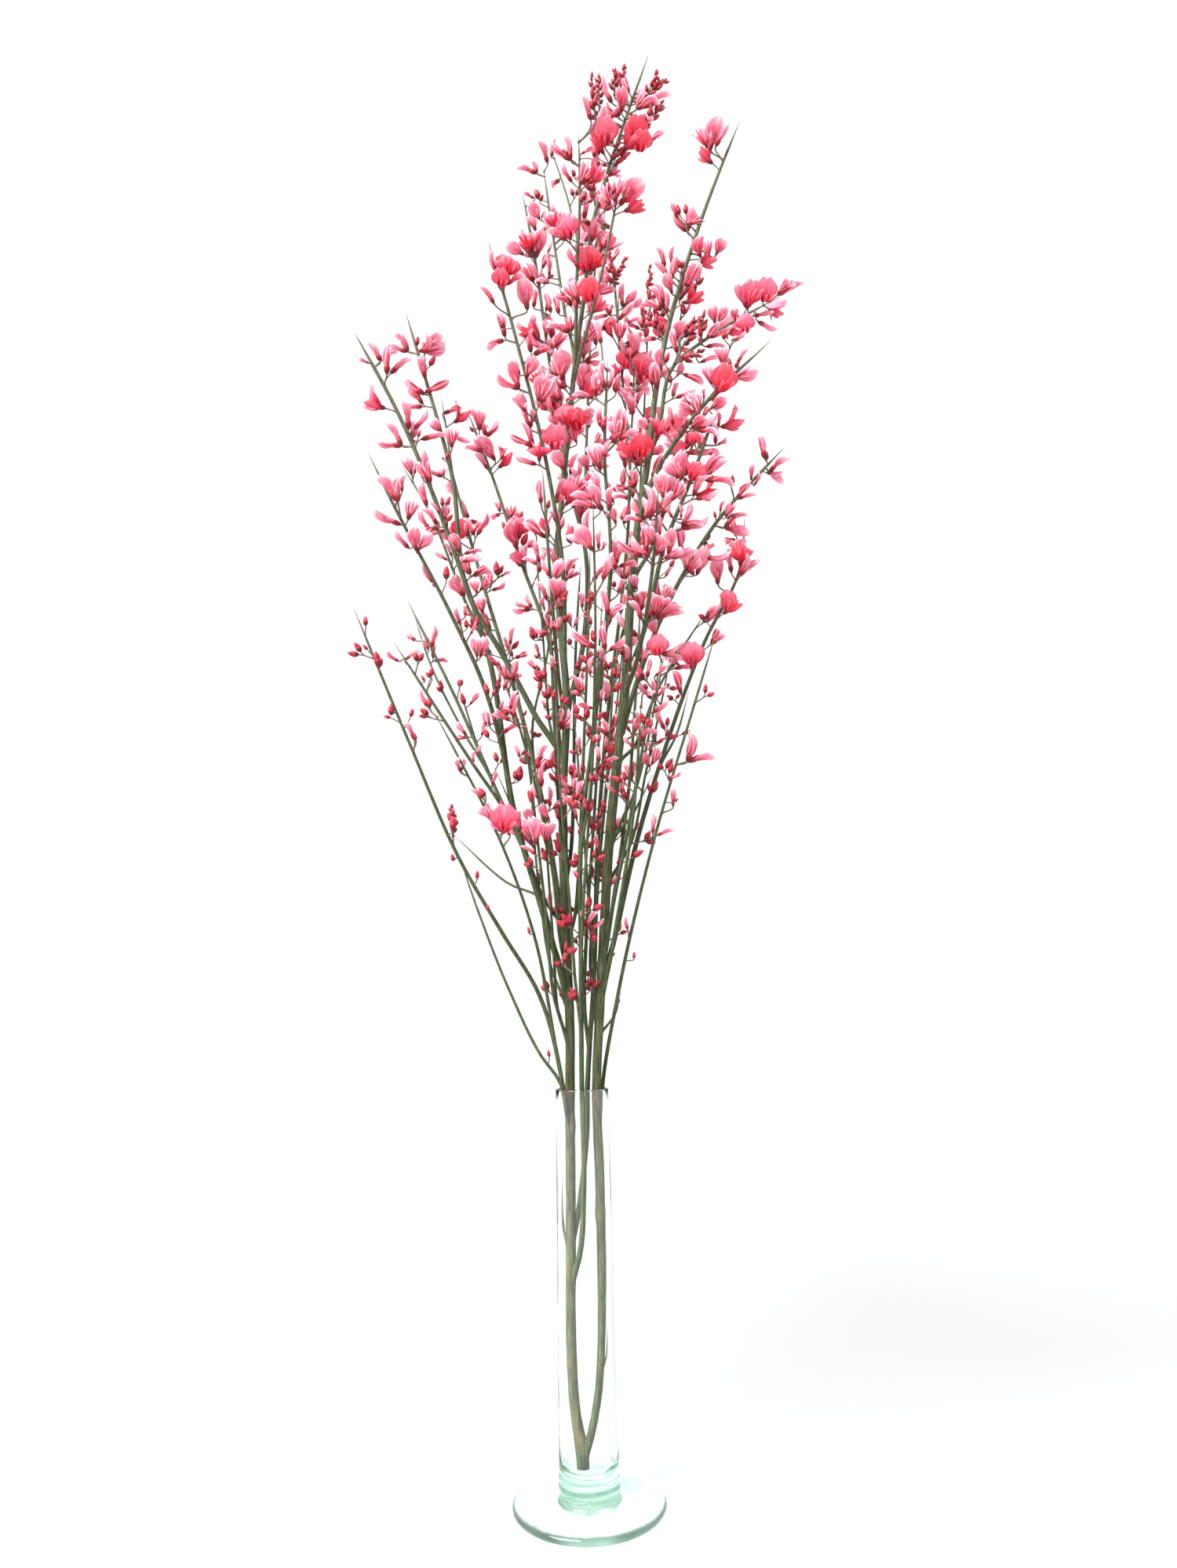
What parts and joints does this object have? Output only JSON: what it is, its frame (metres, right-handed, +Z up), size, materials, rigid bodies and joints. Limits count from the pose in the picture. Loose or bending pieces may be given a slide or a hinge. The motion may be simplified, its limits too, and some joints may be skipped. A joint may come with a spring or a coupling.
{
  "type": "flowering broom branch in a bud vase",
  "caption": "Cut branch of flowering broom, with stiff rush-like green twigs and coral pink pea flowers, standing in a slender pale green glass bud vase with a round foot.",
  "frame": {"origin": "centre of the flat underside of the vase's foot", "axes": "+Z up along the vase's axis, -Y towards the side that the picture shows, +X to that picture's right"},
  "size_m": [0.2753, 0.1806, 0.8881],
  "materials": {
    "glass": "polished hand-made glass, pale green",
    "bark": "fresh green ridged bark, satin",
    "open_petals": "matte petals, coral pink to red",
    "closed_petals": "matte petals, pale pink with a red base",
    "bud_petals": "matte buds, red"
  },
  "bodies": {
    "root": {"glass_vase": "glass", "branch": "bark", "open_flower_01": "open_petals", "open_flower_02": "open_petals", "open_flower_03": "open_petals", "open_flower_04": "open_petals", "open_flower_05": "open_petals", "open_flower_06": "open_petals", "open_flower_07": "open_petals", "open_flower_08": "open_petals", "open_flower_09": "open_petals", "open_flower_10": "open_petals", "open_flower_11": "open_petals", "open_flower_12": "open_petals", "open_flower_13": "open_petals", "open_flower_14": "open_petals", "open_flower_15": "open_petals", "open_flower_16": "open_petals", "open_flower_17": "open_petals", "open_flower_18": "open_petals", "open_flower_19": "open_petals", "open_flower_20": "open_petals", "open_flower_21": "open_petals", "open_flower_22": "open_petals", "open_flower_23": "open_petals", "open_flower_24": "open_petals", "open_flower_25": "open_petals", "open_flower_26": "open_petals", "open_flower_27": "open_petals", "open_flower_28": "open_petals", "open_flower_29": "open_petals", "open_flower_30": "open_petals", "open_flower_31": "open_petals", "open_flower_32": "open_petals", "open_flower_33": "open_petals", "open_flower_34": "open_petals", "open_flower_35": "open_petals", "flower_pair_01": "closed_petals", "flower_pair_02": "closed_petals", "flower_pair_03": "closed_petals", "flower_pair_04": "closed_petals", "flower_pair_05": "closed_petals", "flower_pair_06": "closed_petals", "flower_pair_07": "closed_petals", "flower_pair_08": "closed_petals", "flower_pair_09": "closed_petals", "flower_pair_10": "closed_petals", "flower_pair_11": "closed_petals", "flower_pair_12": "closed_petals", "flower_pair_13": "closed_petals", "flower_pair_14": "closed_petals", "flower_pair_15": "closed_petals", "flower_pair_16": "closed_petals", "flower_pair_17": "closed_petals", "flower_pair_18": "closed_petals", "flower_pair_19": "closed_petals", "flower_pair_20": "closed_petals", "bud_shoot_01": "bud_petals", "bud_shoot_02": "bud_petals", "bud_shoot_03": "bud_petals"}
  },
  "joints": []
}
